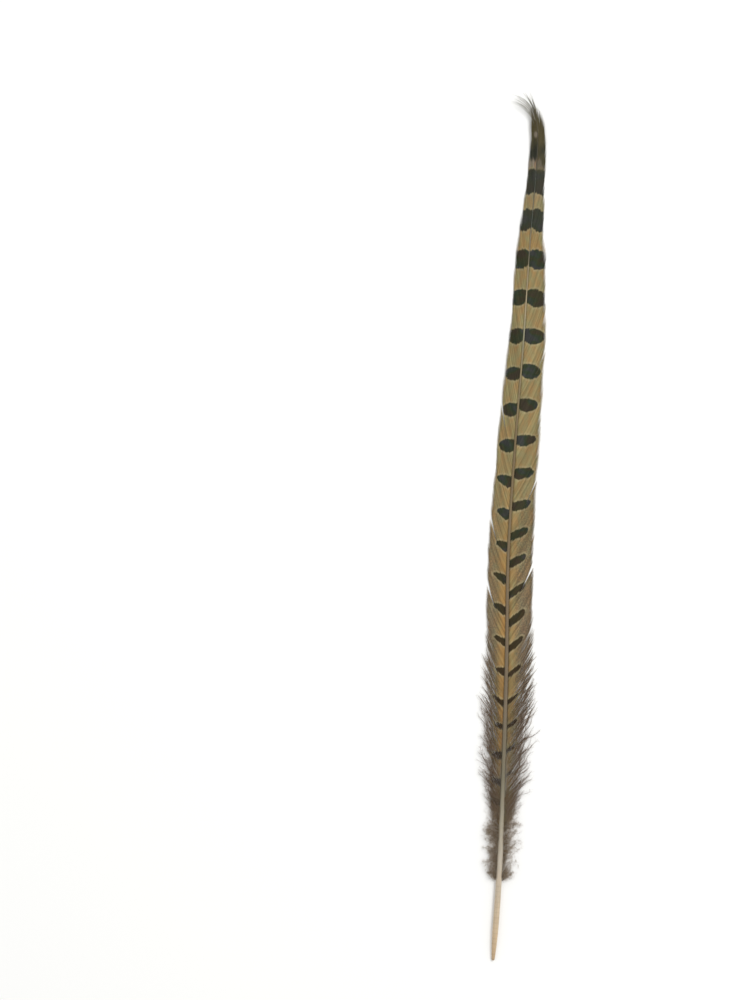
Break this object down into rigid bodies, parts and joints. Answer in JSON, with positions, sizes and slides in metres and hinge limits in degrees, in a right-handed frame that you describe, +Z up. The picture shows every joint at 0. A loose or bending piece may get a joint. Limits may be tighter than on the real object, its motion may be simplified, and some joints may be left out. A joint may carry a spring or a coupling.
{
  "type": "pheasant tail feather",
  "caption": "Long, narrow, barred tail feather of a ring-necked pheasant, lying flat: bare quill, downy foot, a vane on each side of a tapering shaft, and a frayed dark tip.",
  "frame": {"origin": "middle of the underside of the feather's bounding box, on the surface that it lies on", "axes": "+Y along the feather from the quill's end to its tip, +X to its right seen from above, +Z up, out of its upper side"},
  "size_m": [0.0354, 0.4992, 0.0053],
  "materials": {
    "quill_horn": "satin",
    "barred_vane": "matte",
    "down": "matte"
  },
  "bodies": {
    "root": {"shaft": "quill_horn", "vane_left": "barred_vane", "vane_right": "barred_vane", "down_left": "down", "down_right": "down"}
  },
  "joints": []
}
